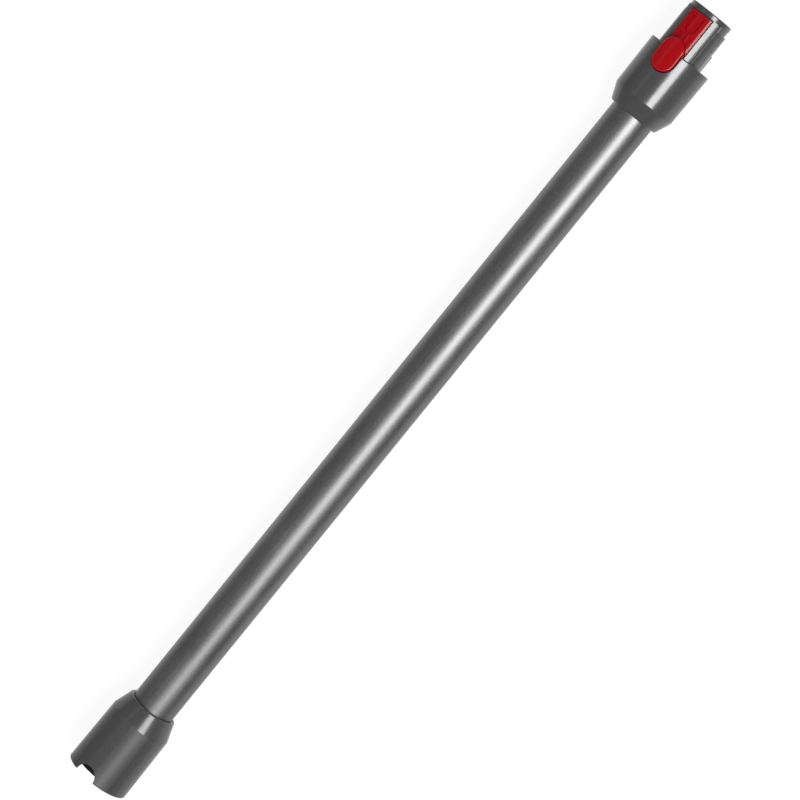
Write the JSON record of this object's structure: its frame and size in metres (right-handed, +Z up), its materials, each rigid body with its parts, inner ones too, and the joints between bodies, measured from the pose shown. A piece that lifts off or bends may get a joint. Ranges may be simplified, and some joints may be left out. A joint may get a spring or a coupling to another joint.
{
  "type": "vacuum extension wand",
  "caption": "Straight rigid extension tube for a stick vacuum, with a recessed connector collar at one end and an offset plug-in neck with a sprung latch at the other.",
  "frame": {"origin": "middle of the bounding box at its lowest face: the line on which the two collar rims lie, half way along the wand", "axes": "+X along the wand from the recessed collar to the latch neck, +Z up through the latch, +Y to the left when looking towards the neck"},
  "size_m": [0.7322, 0.052, 0.0536],
  "materials": {
    "tube_metal": "satin anodised grey",
    "collar_grey": "semi-gloss painted",
    "neck_grey": "semi-gloss moulded",
    "latch_red": "semi-gloss moulded",
    "inner_black": "matt moulded",
    "rubber_black": "matt",
    "steel": "bright",
    "contact_metal": "bright"
  },
  "bodies": {
    "wand": {"tube": "tube_metal", "lower_collar": "collar_grey", "receptacle": "inner_black", "receptacle_seal": "rubber_black", "socket_block": "inner_black", "socket_contact_left": "contact_metal", "socket_contact_right": "contact_metal", "socket_screw_left": "steel", "socket_screw_right": "steel", "lower_tube_gasket": "rubber_black", "lower_tube_screw_left": "steel", "lower_tube_screw_right": "steel", "upper_collar": "collar_grey", "neck": "neck_grey", "upper_tube_gasket": "rubber_black", "upper_tube_screw_left": "steel", "upper_tube_screw_right": "steel", "latch_pin": "steel", "latch_spring": "steel", "plug_block": "inner_black", "plug_blade_left": "contact_metal", "plug_blade_right": "contact_metal", "plug_screw_left": "steel", "plug_screw_right": "steel"},
    "latch": {"latch": "latch_red"}
  },
  "joints": [
    {"name": "latch_hinge", "type": "hinge", "parent": "wand", "child": "latch", "pos_m": [0.3049, 0, 0.045], "axis": [0, 1, 0], "range_deg": [0, 3], "stiffness_Nm_per_rad": 1, "springref_deg": -5.73, "deforming": ["latch_spring"]}
  ]
}
